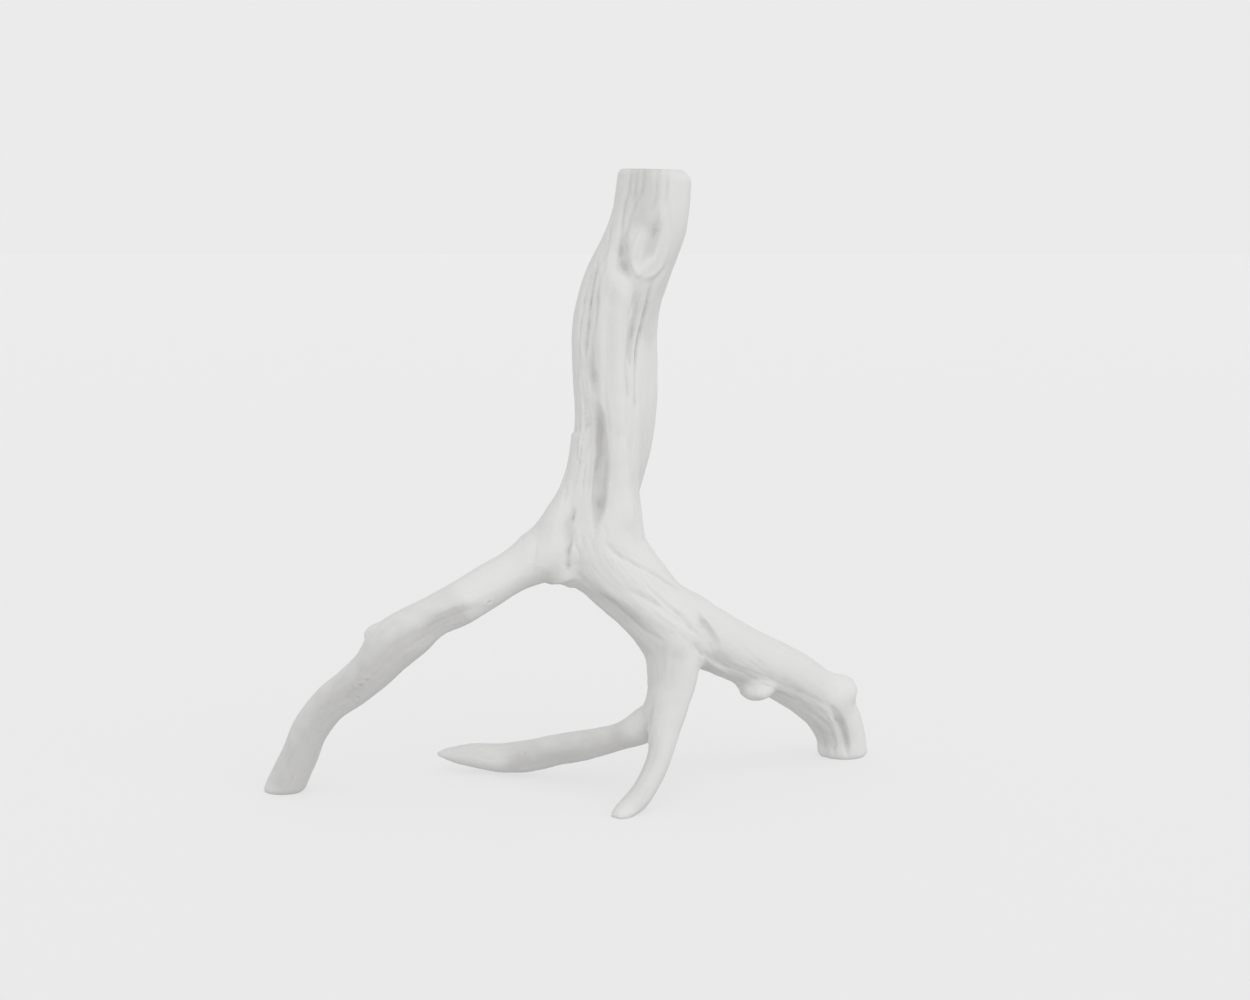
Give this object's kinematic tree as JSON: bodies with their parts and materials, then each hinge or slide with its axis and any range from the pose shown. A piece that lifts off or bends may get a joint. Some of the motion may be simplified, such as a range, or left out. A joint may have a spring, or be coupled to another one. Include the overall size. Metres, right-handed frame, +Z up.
{
  "type": "dry root",
  "caption": "Dry bleached tree root with a sawn stem, standing on three spread root ends, with a fourth root that tapers to a point.",
  "frame": {"origin": "on the floor that the root stands on, under the middle of its bounding box", "axes": "+Z up along the sawn stem, +X towards the root that ends in the thick grooved foot, -Y towards the short front root"},
  "size_m": [0.5555, 0.2685, 0.5499],
  "materials": {
    "bleached_wood": "matte, bare bleached wood with a shallow grain"
  },
  "bodies": {
    "root": {"dry_root": "bleached_wood"}
  },
  "joints": []
}
